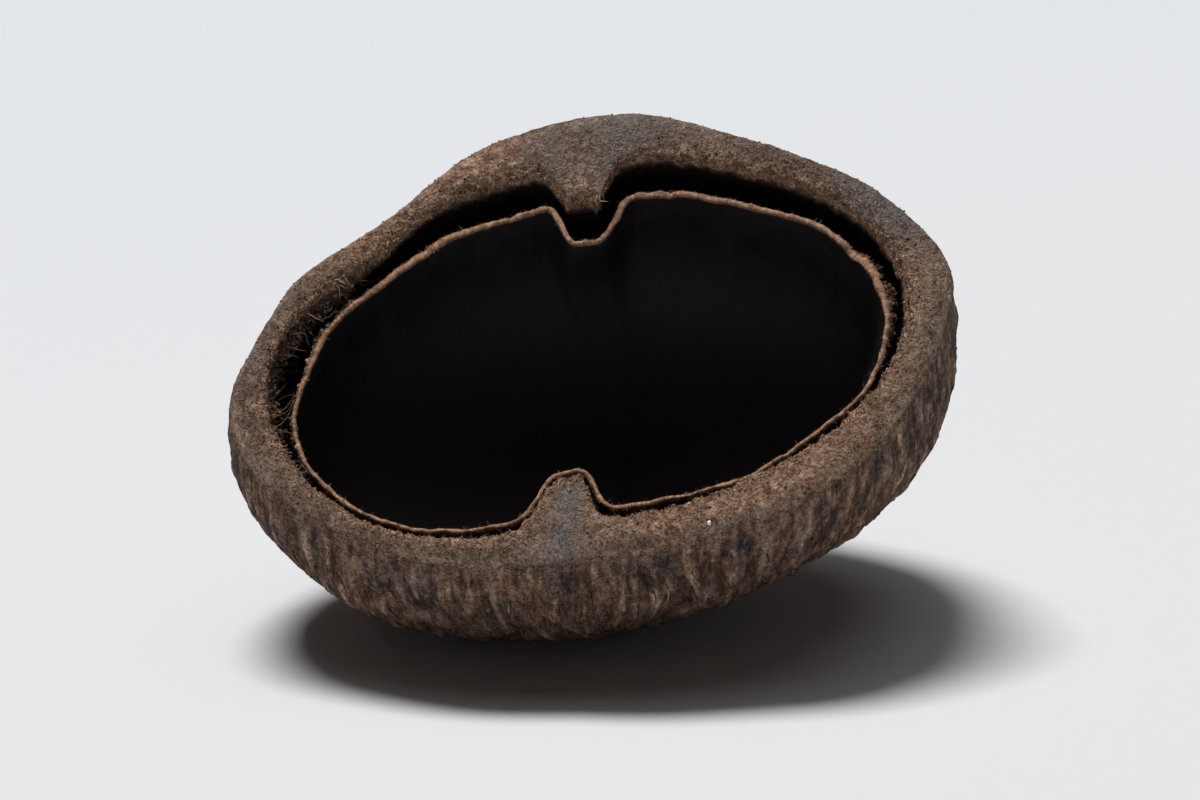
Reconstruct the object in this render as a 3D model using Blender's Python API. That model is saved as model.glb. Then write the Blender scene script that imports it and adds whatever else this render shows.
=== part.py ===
"""Half of a palm pod, cut across at its widest part and lying with its mouth up and forward.

The pod has a frame of its own: x along the mouth's long axis, y across it, and z out of the
mouth, with z = 0 at the top of the lip. Lengths are in metres, and angles in the tables are in
degrees, counted from x towards y. Every surface is worked out from an angle around the mouth
and a turn down the wall, which goes from 0 at the mouth to a quarter turn at the closed end.
"""

import math

import bmesh
import bpy
from mathutils import Matrix, Vector

MM = 0.001
QUARTER_TURN = math.pi / 2
GOLDEN_SHARE = 0.618

# How the pod lies on the surface
MOUTH_TILT = 43.4
MOUTH_TURN = -5.6
MOUTH_ROLL = 12.4
FLAT_SPOT_DEPTH = 1.2 * MM

# Husk, outside
HUSK_HALF_LENGTH = 47.7 * MM
HUSK_HALF_WIDTH = 32.0 * MM
HUSK_LIFT = 0.7 * MM
POD_DEPTH = 47.5 * MM
WALL_FULLNESS = 0.83
SHOULDER = 0.02
END_BLUNTNESS = 0.9
BELLY = (-2.5 * MM, -1.8 * MM)
BELLY_AT = 0.45
# Where the mouth's outline swells or draws in: angle, half width, height in mm
HUSK_SWELLS = (
    (141, 22, -5.0),
    (168, 9, -1.8),
    (36, 22, -2.1),
    (-42, 14, 1.4),
    (-168, 12, 1.0),
    (-128, 14, 0.6),
    (80, 22, 1.6),
    (3, 8, 1.2),
)
# The same for the wall below the lip
WALL_SWELLS = (
    (-7, 17, 3.4),
    (-42, 11, -1.7),
    (-146, 13, 2.5),
    (-97, 14, 0.8),
)

# Husk, lip and inside
LIP_HEIGHT = 3.0 * MM
# Shares of the lip's width and height: its round outer part, and how far the rest slopes inwards
LIP_ROUNDING = 0.5
LIP_SLOPE = 0.25
LIP_EDGE_SHARPNESS = 14
LIP_WAVE = 0.35 * MM
BORE_HALF_LENGTH = 41.5 * MM
BORE_HALF_WIDTH = 25.3 * MM
END_THICKNESS = 6.5 * MM
BORE_SWELLS = (
    (-143, 25, 3.3),
    (62, 12, 1.0),
    (148, 14, -3.0),
)
# The two ridges that stand into the mouth: angle, half widths before and after it, height in mm
HUSK_RIDGES = (
    (85, 8.8, 9.2, 5.3),
    (-103.5, 8.9, 9.3, 7.4),
)
RIDGE_STEEPNESS = 7
RIDGE_REACH = 26 * MM

# Ribs and the net between them
RIBS = 48
RIB_HEIGHT = 0.42 * MM
RIB_UNEVENNESS = 0.35
RIB_SWAY = 3.0
RIB_TWIST = 3.0
NET_LINKS = 3.5
NET_FILL = 0.8
LUMP_HEIGHT = 0.45 * MM

# Closed end
BOSS_HEIGHT = 1.8 * MM
BOSS_RADIUS = 6.5 * MM
# Rings of the nub, from its root to its tip: radius and height over the boss in mm
NUB_RINGS = ((2.8, 0.4), (1.8, 1.4), (0.9, 2.7))
NUB_LENGTH = 3.5 * MM
NUB_BEND = (0.5 * MM, 0.3 * MM)
NUB_COLUMNS = 12

# Inner shell
SHELL_HALF_LENGTH = 39.8 * MM
SHELL_HALF_WIDTH = 23.4 * MM
SHELL_LIFT = 0.1 * MM
SHELL_DROP = 3.5 * MM
SHELL_THICKNESS = 0.9 * MM
SHELL_END_GAP = 0.5 * MM
SHELL_RIM_WAVE = 0.5 * MM
# Where the shell swells or draws in: angle, half width, height in mm
SHELL_SWELLS = (
    (-144, 25, 3.6),
    (174, 9, -1.9),
    (132, 28, -1.3),
    (154, 16, -2.1),
    (107, 12, -0.8),
    (34, 14, -1.1),
    (-19, 11, 1.2),
    (-47, 14, 0.9),
    (14, 4, -0.5),
)
# Its two folds over the husk's ridges: angle, half widths before and after it, depth in mm
SHELL_FOLDS = (
    (84, 10.4, 8.6, 6.7),
    (-104, 8.0, 10.6, 6.2),
)

# Columns around the mouth and rows down each wall
COLUMNS_PER_RIB = 4
WALL_ROWS = 14
LAST_WALL_TURN = 84
BORE_COLUMNS = 144
DEEP_BORE_COLUMNS = 72
LIP_ROWS = 7
BORE_ROWS = 8
SHELL_COLUMNS = 112
SHELL_ROWS = 9
# Turns down the wall, in degrees, past which the columns are halved
HALVE_COLUMNS_AT = (56, 74)
SHARP_ANGLE = 50


def from_direction(angle, at):
    """Degrees from the direction `at` to an angle in radians, between -180 and 180."""
    return (math.degrees(angle) - at + 180) % 360 - 180


def swell(angle, table):
    """Sum of the smooth rises and hollows of a table around the outline."""
    return sum(
        height * MM * math.exp(-((from_direction(angle, at) / half_width) ** 2))
        for at, half_width, height in table
    )


def ridges(angle, table):
    """Sum of flat-topped ridges, each with its own steepness on either side."""
    total = 0.0
    for at, before, after, height in table:
        offset = from_direction(angle, at)
        half_width = before if offset < 0 else after
        total += height * MM / (1 + abs(offset / half_width) ** RIDGE_STEEPNESS)
    return total


def ellipse_radius(angle, half_length, half_width, lift=0.0):
    """Distance from the mouth's centre to an ellipse whose own centre is lifted along y."""
    along, across = math.cos(angle) / half_length, math.sin(angle) / half_width
    square = along**2 + across**2
    slope = -across * lift / half_width
    rest = (lift / half_width) ** 2 - 1
    return (-slope + math.sqrt(slope**2 - square * rest)) / square


def even_angle(around):
    """Polar angle for which equal steps of `around` give nearly equal steps along the outline."""
    squeeze = math.sqrt(HUSK_HALF_WIDTH / HUSK_HALF_LENGTH)
    return math.atan2(squeeze * math.sin(around), math.cos(around))


def smooth_step(value, start, end):
    share = min(1.0, max(0.0, (value - start) / (end - start)))
    return share * share * (3 - 2 * share)


def belly_shift(height):
    """Sideways shift of the pod's middle, largest part of the way down."""
    share = min(1.0, max(0.0, -height / POD_DEPTH))
    weight = math.sin(math.pi * share ** (math.log(0.5) / math.log(BELLY_AT)))
    return BELLY[0] * weight, BELLY[1] * weight


def place(angle, radius, height):
    shift_x, shift_y = belly_shift(height)
    return Vector(
        (radius * math.cos(angle) + shift_x, radius * math.sin(angle) + shift_y, height)
    )


def wall_share(turn):
    """Share of the depth that is reached at a turn down the wall."""
    return max(0.0, math.sin(turn)) ** WALL_FULLNESS


def husk_radius(angle):
    outline = ellipse_radius(angle, HUSK_HALF_LENGTH, HUSK_HALF_WIDTH, HUSK_LIFT)
    return outline + swell(angle, HUSK_SWELLS)


def ridge_fade(height):
    """The ridges are full at the mouth and fade on the way down."""
    return math.exp(-((height / RIDGE_REACH) ** 2))


def bore_radius(angle, height):
    outline = ellipse_radius(angle, BORE_HALF_LENGTH, BORE_HALF_WIDTH)
    uneven = swell(angle, BORE_SWELLS) - ridges(angle, HUSK_RIDGES)
    return outline + uneven * ridge_fade(height)


def shell_radius(angle, height):
    fade = ridge_fade(height)
    outline = ellipse_radius(angle, SHELL_HALF_LENGTH, SHELL_HALF_WIDTH, SHELL_LIFT * fade)
    return outline + (swell(angle, SHELL_SWELLS) - ridges(angle, SHELL_FOLDS)) * fade


def wall_point(angle, turn):
    height = -LIP_HEIGHT - wall_share(turn) * (POD_DEPTH - LIP_HEIGHT)
    shoulder = math.sin(2 * turn)
    narrowing = max(0.0, math.cos(turn)) ** END_BLUNTNESS + SHOULDER * shoulder
    radius = husk_radius(angle) * narrowing + swell(angle, WALL_SWELLS) * shoulder
    return place(angle, radius, height)


def bore_point(angle, turn):
    depth = POD_DEPTH - LIP_HEIGHT - END_THICKNESS
    height = -LIP_HEIGHT - wall_share(turn) * depth
    return place(angle, bore_radius(angle, height) * math.cos(turn), height)


def shell_point(angle, turn):
    rim = -SHELL_DROP + SHELL_RIM_WAVE * math.sin(3 * angle + 1) * math.cos(turn) ** 2
    depth = POD_DEPTH - END_THICKNESS - SHELL_END_GAP + rim
    height = rim - wall_share(turn) * depth
    return place(angle, shell_radius(angle, height) * math.cos(turn), height)


def normal_at(surface, angle, turn):
    """Direction straight out of a surface, away from the pod's axis."""
    step = 0.002
    around = surface(angle + step, turn) - surface(angle - step, turn)
    down = surface(angle, turn + step) - surface(angle, turn - step)
    return down.cross(around).normalized()


def rib_relief(around, turn):
    """Height of the ribs at an even angle: crests, grooves and the links that cross them."""
    depth_share = wall_share(turn)
    crest = math.cos(RIBS * around)
    groove_number = math.floor(RIBS * around / math.tau)
    stagger = groove_number * GOLDEN_SHARE
    link = max(0.0, math.cos(math.tau * (NET_LINKS * depth_share + stagger))) ** 3
    in_groove = (1 - crest) / 2
    strength = 1 + RIB_UNEVENNESS * math.sin(11 * around + 6 * depth_share)
    fade = smooth_step(depth_share, 0.0, 0.1) * (1 - smooth_step(depth_share, 0.9, 1.0))
    return RIB_HEIGHT * strength * fade * (crest + 2 * NET_FILL * link * in_groove)


def lumps(angle, turn):
    """Broad unevenness of the outside."""
    waves = (
        math.sin(3 * angle + 4 * turn + 0.4)
        + math.sin(5 * angle - 6 * turn + 2.0)
        + math.sin(8 * angle + 3 * turn + 4.1)
    )
    return LUMP_HEIGHT * waves / 3 * math.sin(2 * turn)


def boss(turn):
    """Low boss around the closed end."""
    reach = HUSK_HALF_WIDTH * math.cos(turn) / BOSS_RADIUS
    return BOSS_HEIGHT * math.exp(-(reach**2))


def meander(around, turn):
    """How far a rib strays sideways on its way down, in radians."""
    share = wall_share(turn)
    sway = math.sin(4 * around + 9 * share) + math.sin(7 * around - 13 * share + 1.7)
    twist = math.sin(math.tau * share)
    return math.radians(RIB_SWAY * sway / 2 * math.sin(math.pi * share) + RIB_TWIST * twist)


def ribbed_point(around, turn):
    angle = even_angle(around + meander(around, turn))
    out = normal_at(wall_point, angle, turn)
    height = rib_relief(around, turn) + lumps(angle, turn) + boss(turn)
    return wall_point(angle, turn) + out * height


def lip_point(around, share):
    """A point over the lip: share 0 is its outer edge and share 1 its inner edge."""
    angle = even_angle(around)
    outer = husk_radius(angle)
    inner = bore_radius(angle, -LIP_HEIGHT)
    inwards = (1 - math.cos(math.pi * share)) / 2
    radius = outer + (inner - outer) * inwards
    rounding = math.sqrt(1 - max(0.0, 1 - inwards / LIP_ROUNDING) ** 2)
    crown = 1 - LIP_SLOPE * max(0.0, (inwards - LIP_ROUNDING) / (1 - LIP_ROUNDING)) ** 2
    arch = rounding * crown * math.sqrt(1 - inwards**LIP_EDGE_SHARPNESS)
    wave = LIP_WAVE * (math.sin(4 * angle + 0.7) + math.sin(9 * angle + 2.9)) / 2
    return place(angle, radius, -LIP_HEIGHT + (LIP_HEIGHT + wave) * arch)


def ring(mesh, columns, point):
    """A closed ring of vertices, one for each column, at the points that `point` gives."""
    return [mesh.verts.new(point(math.tau * column / columns)) for column in range(columns)]


def zip_rings(mesh, first, second):
    """Faces between two rings that may have different numbers of columns."""
    one, two = 0, 0
    while one < len(first) or two < len(second):
        a, b = first[one % len(first)], second[two % len(second)]
        next_a = (one + 1) / len(first)
        next_b = (two + 1) / len(second)
        if math.isclose(next_a, next_b):
            one, two = one + 1, two + 1
            mesh.faces.new((a, b, second[two % len(second)], first[one % len(first)]))
        elif next_a < next_b:
            one += 1
            mesh.faces.new((a, b, first[one % len(first)]))
        else:
            two += 1
            mesh.faces.new((a, b, second[two % len(second)]))


def fan(mesh, rim, tip_point, outwards):
    """Closes a ring with a fan of triangles to one point."""
    tip = mesh.verts.new(tip_point)
    for here, after in zip(rim, rim[1:] + rim[:1]):
        mesh.faces.new((tip, after, here) if outwards else (tip, here, after))


def join(mesh, rings):
    for upper, lower in zip(rings, rings[1:]):
        zip_rings(mesh, upper, lower)


def wall_turns(rows, last):
    return [math.radians(last) * row / rows for row in range(rows + 1)]


def wall_columns(turn):
    halvings = sum(math.degrees(turn) > limit for limit in HALVE_COLUMNS_AT)
    return RIBS * COLUMNS_PER_RIB // 2**halvings


def nub_rings(mesh):
    """Rings of the little nub that ends the pod, bent slightly to one side."""
    rings = []
    root = wall_point(0, QUARTER_TURN) - Vector((0, 0, BOSS_HEIGHT))
    for radius, height in NUB_RINGS:
        share = height * MM / NUB_LENGTH
        centre = root + Vector((NUB_BEND[0] * share, NUB_BEND[1] * share, -height * MM))

        def point(around, centre=centre, radius=radius):
            return centre + Vector((math.cos(around), math.sin(around), 0)) * radius * MM

        rings.append(ring(mesh, NUB_COLUMNS, point))
    tip = root + Vector((*NUB_BEND, -NUB_LENGTH))
    return rings, tip


def husk_mesh(lie):
    mesh = bmesh.new()
    rings = []
    for row in range(LIP_ROWS, 0, -1):
        share = row / (LIP_ROWS + 1)
        rings.append(ring(mesh, BORE_COLUMNS, lambda a, s=share: lip_point(a, s)))
    for turn in wall_turns(WALL_ROWS, LAST_WALL_TURN):
        rings.append(ring(mesh, wall_columns(turn), lambda a, t=turn: ribbed_point(a, t)))
    nub, tip = nub_rings(mesh)
    rings += nub
    join(mesh, rings)
    fan(mesh, rings[-1], tip, outwards=True)

    bore = [rings[0]]
    for row, turn in enumerate(wall_turns(BORE_ROWS, LAST_WALL_TURN)):
        columns = BORE_COLUMNS if row < BORE_ROWS / 2 else DEEP_BORE_COLUMNS
        bore.append(ring(mesh, columns, lambda a, t=turn: bore_point(even_angle(a), t)))
    for upper, lower in zip(bore, bore[1:]):
        zip_rings(mesh, lower, upper)
    fan(mesh, bore[-1], bore_point(0, QUARTER_TURN), outwards=False)
    cut_flat_spot(mesh, lie)
    return mesh


def cut_flat_spot(mesh, lie):
    """Takes a thin slice off the lowest part, where the pod has worn flat and rests."""
    up = lie.to_3x3().transposed() @ Vector((0, 0, 1))
    level = min(vertex.co.dot(up) for vertex in mesh.verts) + FLAT_SPOT_DEPTH
    everything = mesh.verts[:] + mesh.edges[:] + mesh.faces[:]
    cut = bmesh.ops.bisect_plane(
        mesh, geom=everything, plane_co=up * level, plane_no=up, clear_inner=True
    )
    edges = [item for item in cut["geom_cut"] if isinstance(item, bmesh.types.BMEdge)]
    bmesh.ops.triangle_fill(mesh, edges=edges, use_beauty=True, normal=-up)


def shell_inside(angle, turn):
    out = normal_at(shell_point, angle, turn)
    return shell_point(angle, turn) - out * SHELL_THICKNESS


def shell_mesh():
    mesh = bmesh.new()
    turns = wall_turns(SHELL_ROWS, LAST_WALL_TURN)
    sides = []
    for side in (shell_point, shell_inside):
        rings = []
        for turn in turns:
            columns = SHELL_COLUMNS // (2 if math.degrees(turn) > HALVE_COLUMNS_AT[0] else 1)
            rings.append(ring(mesh, columns, lambda a, s=side, t=turn: s(even_angle(a), t)))
        sides.append(rings)
    outside, inside = sides
    join(mesh, outside)
    fan(mesh, outside[-1], shell_point(0, QUARTER_TURN), outwards=True)
    for upper, lower in zip(inside, inside[1:]):
        zip_rings(mesh, lower, upper)
    end = shell_point(0, QUARTER_TURN) + Vector((0, 0, SHELL_THICKNESS))
    fan(mesh, inside[-1], end, outwards=False)
    zip_rings(mesh, inside[0], outside[0])
    return mesh


def material(name, colour, roughness):
    made = bpy.data.materials.new(name)
    made.use_nodes = True
    surface = made.node_tree.nodes["Principled BSDF"]
    surface.inputs["Base Color"].default_value = (*colour, 1)
    surface.inputs["Roughness"].default_value = roughness
    surface.inputs["Metallic"].default_value = 0.0
    return made


def add_object(name, mesh, surface, parent):
    data = bpy.data.meshes.new(name)
    mesh.to_mesh(data)
    mesh.free()
    data.shade_smooth()
    data.set_sharp_from_angle(angle=math.radians(SHARP_ANGLE))
    data.materials.append(surface)
    made = bpy.data.objects.new(name, data)
    made.rotation_euler = (0, 0, math.radians(MOUTH_ROLL))
    made.parent = parent
    bpy.context.collection.objects.link(made)
    return made


def set_on_surface(pod, pieces):
    """Moves the pod so that the middle of its box's underside is at the origin."""
    bpy.context.view_layer.update()
    corners = [piece.matrix_world @ v.co for piece in pieces for v in piece.data.vertices]
    low = [min(corner[axis] for corner in corners) for axis in range(3)]
    high = [max(corner[axis] for corner in corners) for axis in range(3)]
    pod.location = (-(low[0] + high[0]) / 2, -(low[1] + high[1]) / 2, -low[2])
    bpy.context.view_layer.update()


def build():
    for old in list(bpy.data.objects):
        bpy.data.objects.remove(old)
    pod = bpy.data.objects.new("pod", None)
    pod.rotation_euler = (math.radians(MOUTH_TILT), 0, math.radians(MOUTH_TURN))
    bpy.context.collection.objects.link(pod)
    lie = pod.rotation_euler.to_matrix() @ Matrix.Rotation(math.radians(MOUTH_ROLL), 3, "Z")
    husk = add_object("husk", husk_mesh(lie), material("husk", (0.085, 0.052, 0.035), 0.9), pod)
    lining = material("inner shell", (0.16, 0.085, 0.045), 0.6)
    shell = add_object("inner_shell", shell_mesh(), lining, pod)
    set_on_surface(pod, (husk, shell))


build()
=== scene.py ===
import itertools
import math

import bmesh
import bpy
import numpy as np
from mathutils import Euler, Matrix, Vector


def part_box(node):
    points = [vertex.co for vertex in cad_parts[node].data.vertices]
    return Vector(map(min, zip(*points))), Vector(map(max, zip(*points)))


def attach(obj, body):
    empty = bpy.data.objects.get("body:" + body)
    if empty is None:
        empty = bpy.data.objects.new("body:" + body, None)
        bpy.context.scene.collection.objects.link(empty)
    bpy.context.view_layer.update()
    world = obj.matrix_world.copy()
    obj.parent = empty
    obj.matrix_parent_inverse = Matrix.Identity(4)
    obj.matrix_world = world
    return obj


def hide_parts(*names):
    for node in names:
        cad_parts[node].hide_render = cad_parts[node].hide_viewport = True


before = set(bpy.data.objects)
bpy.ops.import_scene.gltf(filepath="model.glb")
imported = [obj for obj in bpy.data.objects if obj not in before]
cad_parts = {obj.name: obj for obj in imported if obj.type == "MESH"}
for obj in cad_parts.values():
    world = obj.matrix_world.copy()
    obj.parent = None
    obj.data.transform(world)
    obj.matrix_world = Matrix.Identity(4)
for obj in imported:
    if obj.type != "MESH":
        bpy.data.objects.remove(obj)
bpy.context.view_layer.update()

mm = 0.001
fullTurn = 2 * math.pi
quarterTurn = math.pi / 2

# The pod has a frame of its own: x along the mouth's long axis, y across it and z out of it, with
# z = 0 at the top of the lip. Lengths are in millimetres until a mesh is made, angles in the tables
# are in degrees, and the measures are the ones in the part's source.
pod = {
    "tilt": 43.4,
    "turn": -5.6,
    "roll": 12.4,
    "halfLength": 47.7,
    "halfWidth": 32.0,
    "lift": 0.7,
    "depth": 47.5,
    "fullness": 0.83,  # how soon the wall gets down to the depth
    "shoulder": 0.02,
    "bluntness": 0.9,
    "belly": (-2.5, -1.8),  # how far the widest part leans sideways
    "bellyAt": 0.45,
    "goldenShare": 0.618,
}


# Shapes that the husk and the inner shell share

def degreesFrom(angle, at):
    return (np.degrees(angle) - at + 180) % 360 - 180


def swell(angle, table):
    total = 0.0
    for at, halfWidth, height in table:
        total = total + height * np.exp(-((degreesFrom(angle, at) / halfWidth) ** 2))
    return total


def flatRidges(angle, table):
    # flat-topped ridges, each with its own steepness on either side
    total = 0.0
    for at, before, after, height in table:
        offset = degreesFrom(angle, at)
        halfWidth = np.where(offset < 0, before, after)
        total = total + height / (1 + np.abs(offset / halfWidth) ** 7)
    return total


def ellipseRadius(angle, halfLength, halfWidth, lift=0.0):
    along = np.cos(angle) / halfLength
    across = np.sin(angle) / halfWidth
    square = along**2 + across**2
    slope = -across * lift / halfWidth
    rest = (lift / halfWidth) ** 2 - 1
    return (-slope + np.sqrt(slope**2 - square * rest)) / square


def evenAngle(around):
    # the polar angle for which equal steps of `around` are nearly equal steps along the outline
    squeeze = math.sqrt(pod["halfWidth"] / pod["halfLength"])
    return np.arctan2(squeeze * np.sin(around), np.cos(around))


def aroundAt(degrees):
    # the even angle of a direction given in degrees
    angle = np.radians(degrees)
    squeeze = math.sqrt(pod["halfWidth"] / pod["halfLength"])
    return np.arctan2(np.sin(angle) / squeeze, np.cos(angle))


def smoothStep(value, start, end):
    share = np.clip((value - start) / (end - start), 0, 1)
    return share * share * (3 - 2 * share)


def place(angle, radius, height):
    share = np.clip(-height / pod["depth"], 0, 1)
    weight = np.sin(math.pi * share ** (math.log(0.5) / math.log(pod["bellyAt"])))
    x = radius * np.cos(angle) + pod["belly"][0] * weight
    y = radius * np.sin(angle) + pod["belly"][1] * weight
    return np.stack(np.broadcast_arrays(x, y, height), axis=-1)


def wallShare(turn):
    return np.clip(np.sin(turn), 0, 1) ** pod["fullness"]


def normalOf(surface, first, second, step=0.002):
    # straight out of a surface, away from the pod's axis where `second` runs down the wall
    along = surface(first + step, second) - surface(first - step, second)
    down = surface(first, second + step) - surface(first, second - step)
    out = np.cross(down, along)
    return out / np.linalg.norm(out, axis=-1, keepdims=True)


def makeNoise(seed):
    # smooth noise from about -1 to 1, the same on every run
    random = np.random.RandomState(seed)
    shuffled = random.permutation(256)
    slopes = random.normal(size=(256, 3))
    slopes /= np.linalg.norm(slopes, axis=1, keepdims=True)

    def noise(points, size):
        spot = points / size
        cell = np.floor(spot).astype(int)
        part = spot - cell
        blend = part**3 * (part * (part * 6 - 15) + 10)
        total = np.zeros(spot.shape[:-1])
        for corner in itertools.product((0, 1), repeat=3):
            index = (cell + corner) & 255
            picked = shuffled[index[..., 0]]
            picked = shuffled[(picked + index[..., 1]) & 255]
            picked = shuffled[(picked + index[..., 2]) & 255]
            weight = np.prod(np.where(corner, blend, 1 - blend), axis=-1)
            total += weight * np.sum(slopes[picked] * (part - np.array(corner)), axis=-1)
        return total * 1.6

    return noise


lumpNoise = makeNoise(3)
grainNoise = makeNoise(11)
threadNoise = makeNoise(23)
edgeNoise = makeNoise(37)


# The husk: a thick fibrous wall with a rolled lip, ribs, a net of threads and a nub at its closed end
husk = {
    "swells": (
        (141, 22, -5.0), (168, 9, -1.8), (36, 22, -2.1), (-42, 14, 1.4),
        (-168, 12, 1.0), (-128, 14, 0.6), (80, 22, 1.6), (3, 8, 1.2),
    ),
    "wallSwells": ((-7, 17, 3.4), (-42, 11, -1.7), (-146, 13, 2.5), (-97, 14, 0.8)),
    "lipHeight": 3.0,
    "lipRounding": 0.5,  # share of the lip's width that its round outer part takes
    "lipSlope": 0.25,  # how far the rest of it slopes inwards
    "lipEdgeSharpness": 32,
    "lipWave": 0.35,
    "boreHalfLength": 41.5,
    "boreHalfWidth": 25.3,
    "endThickness": 6.5,
    "boreSwells": ((-143, 25, 3.3), (62, 12, 1.0), (148, 14, -3.0)),
    "ridges": ((85, 8.8, 9.2, 5.3), (-103.5, 8.9, 9.3, 7.4)),
    "ridgeCorner": ((78.5, 2.6, 1.5),),  # the sharper side of the upper ridge's tip
    "boreCrust": ((158, 8, 1.3), (178, 12, 1.7), (-164, 9, 1.2)),  # crumbly lumps below the lip's edge
    "ridgeReach": 26,
    "ribs": 48,
    "ribHeight": 0.42,
    "ribSway": 3.0,
    "ribTwist": 3.0,
    "netLinks": 3.5,
    "netFill": 0.8,
    "lumpHeight": 0.45,
    "bossHeight": 1.8,
    "bossRadius": 6.5,
    "nub": ((2.8, 0.4), (1.8, 1.4), (0.9, 2.7), (0.0, 3.5)),  # radius and height over the boss
    "nubBend": (0.5, 0.3),
    "ribCrest": 0.3,  # height of the narrow crest that each rib shows
    "threads": ((67, 1.2, 0.14), (58, -1.6, 0.12), (111, 0.4, 0.1)),  # count, slant, height
    "streakHeight": 0.12,
    "strandSway": 0.25,  # how much of the ribs' sway the finer strands follow
    "threadWander": 2.6,
    "pitDepth": 0.22,
    "feltHeight": 0.07,
    "lipUnevenness": 0.3,
    "lipGrain": 0.1,
    "edgeCrumble": 0.42,  # how ragged the inner edge of the lip is
    "undercut": 1.2,  # how far the inside draws back below that edge
    "sunkBy": 0.2,  # keeps the finer relief inside the node's own box
    "columns": 704,
    "lipRows": 32,
    "wallRows": 100,
    "lastWallTurn": 87,
    "boreRows": 20,
    "lastBoreTurn": 84,
    "halveAt": (56, 74, 83),
    "nubRows": 15,
    "strandSpread": 40,  # the strand space's measures round the pod and down its wall
    "strandRun": 15,
    # the pale line is a painted highlight along the lip's rounded outer part
    "lipHighlightLine": (0.23, 0.07, 0.8),  # the pale line on the lip: place, half width and strength
}


def huskRadius(angle):
    outline = ellipseRadius(angle, pod["halfLength"], pod["halfWidth"], pod["lift"])
    return outline + swell(angle, husk["swells"])


def ridgeFade(height):
    return np.exp(-((height / husk["ridgeReach"]) ** 2))


def boreRadius(angle, height):
    outline = ellipseRadius(angle, husk["boreHalfLength"], husk["boreHalfWidth"])
    uneven = swell(angle, husk["boreSwells"]) - flatRidges(angle, husk["ridges"])
    corner = swell(angle, husk["ridgeCorner"]) * np.exp(-(((height + husk["lipHeight"]) / 5) ** 2))
    return outline + uneven * ridgeFade(height) - corner


def wallPoint(angle, turn):
    height = -husk["lipHeight"] - wallShare(turn) * (pod["depth"] - husk["lipHeight"])
    shoulder = np.sin(2 * turn)
    narrowing = np.clip(np.cos(turn), 0, 1) ** pod["bluntness"] + pod["shoulder"] * shoulder
    radius = huskRadius(angle) * narrowing + swell(angle, husk["wallSwells"]) * shoulder
    return place(angle, radius, height)


def borePoint(angle, turn):
    depth = pod["depth"] - husk["lipHeight"] - husk["endThickness"]
    height = -husk["lipHeight"] - wallShare(turn) * depth
    return place(angle, boreRadius(angle, height) * np.cos(turn), height)


def lipPoint(around, share):
    # share 0 is the lip's outer edge and share 1 its inner edge
    angle = evenAngle(around)
    outer = huskRadius(angle)
    inner = boreRadius(angle, -husk["lipHeight"])
    inwards = np.clip((1 - np.cos(math.pi * share)) / 2, 0, 1)
    radius = outer + (inner - outer) * inwards
    rounding = np.sqrt(1 - np.clip(1 - inwards / husk["lipRounding"], 0, 1) ** 2)
    flat = np.clip((inwards - husk["lipRounding"]) / (1 - husk["lipRounding"]), 0, 1)
    arch = rounding * (1 - husk["lipSlope"] * flat**2) * np.sqrt(1 - inwards ** husk["lipEdgeSharpness"])
    wave = husk["lipWave"] * (np.sin(4 * angle + 0.7) + np.sin(9 * angle + 2.9)) / 2
    return place(angle, radius, -husk["lipHeight"] + (husk["lipHeight"] + wave) * arch)


def ribRelief(around, turn):
    # crests, grooves and the links that cross them
    share = wallShare(turn)
    crest = np.cos(husk["ribs"] * around)
    stagger = np.floor(husk["ribs"] * around / fullTurn) * pod["goldenShare"]
    link = np.clip(np.cos(fullTurn * (husk["netLinks"] * share + stagger)), 0, 1) ** 3
    strength = 1 + 0.35 * np.sin(11 * around + 6 * share)
    fade = smoothStep(share, 0.0, 0.1) * (1 - smoothStep(share, 0.9, 1.0))
    return husk["ribHeight"] * strength * fade * (crest + husk["netFill"] * link * (1 - crest))


def broadLumps(angle, turn):
    waves = (
        np.sin(3 * angle + 4 * turn + 0.4)
        + np.sin(5 * angle - 6 * turn + 2.0)
        + np.sin(8 * angle + 3 * turn + 4.1)
    )
    boss = husk["bossHeight"] * np.exp(-((pod["halfWidth"] * np.cos(turn) / husk["bossRadius"]) ** 2))
    return husk["lumpHeight"] * waves / 3 * np.sin(2 * turn) + boss


def meander(around, turn):
    share = wallShare(turn)
    sway = np.sin(4 * around + 9 * share) + np.sin(7 * around - 13 * share + 1.7)
    swayed = husk["ribSway"] * sway / 2 * np.sin(math.pi * share)
    return np.radians(swayed + husk["ribTwist"] * np.sin(fullTurn * share))


def strandSpace(around, share):
    # a seamless space, squeezed down the wall so that noise in it comes out as fibres about
    # four times as long as they are wide
    spread = husk["strandSpread"]
    down = husk["strandRun"] * share + 0 * around
    return np.stack((spread * np.cos(around), spread * np.sin(around), down), axis=-1)


def felt(points, size):
    # thin curling lines where smooth noise crosses zero, 0 to 1
    warp = 0.5 * grainNoise(points, 2.3 * size)[..., None]
    line = 1 - 4.5 * np.abs(threadNoise(points + warp * size, size))
    return np.clip(line, 0, 1)


def threadRelief(around, turn):
    # thin raised threads that cross on their way down, broken here and there
    share = wallShare(turn)
    strands = strandSpace(around, share)
    wander = husk["threadWander"] * threadNoise(strands, 9.0)
    total = 0.0
    for number, (count, slant, height) in enumerate(husk["threads"]):
        phase = count * around + slant * fullTurn * share + wander * (1 + number)
        there = smoothStep(threadNoise(strands + 31.0 * (number + 1), 4.0), -0.1, 0.3)
        total = total + height * ((1 + np.cos(phase)) / 2) ** 9 * there
    return total


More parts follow.
